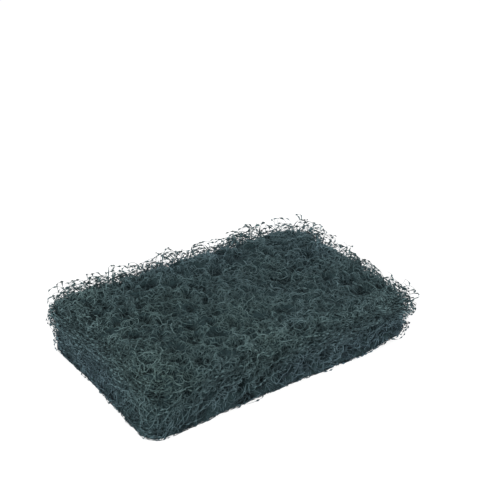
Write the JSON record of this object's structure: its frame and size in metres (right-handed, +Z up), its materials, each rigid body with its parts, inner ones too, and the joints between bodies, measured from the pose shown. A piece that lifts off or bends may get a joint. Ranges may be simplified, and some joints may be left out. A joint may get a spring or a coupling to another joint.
{
  "type": "scouring pad",
  "caption": "Thick rectangular hand scouring pad of matted crimped fibres, with soft edges and loose fibre ends round its upper rim.",
  "frame": {"origin": "on the face the pad lies on, below the middle of the pad", "axes": "+X along the long side, +Y along the short side, +Z up through the thickness"},
  "size_m": [0.1559, 0.1057, 0.0315],
  "materials": {
    "pad_fibre": "matt matted nylon fibre bound with resin, dark grey-green"
  },
  "bodies": {
    "root": {"scouring_pad": "pad_fibre"}
  },
  "joints": []
}
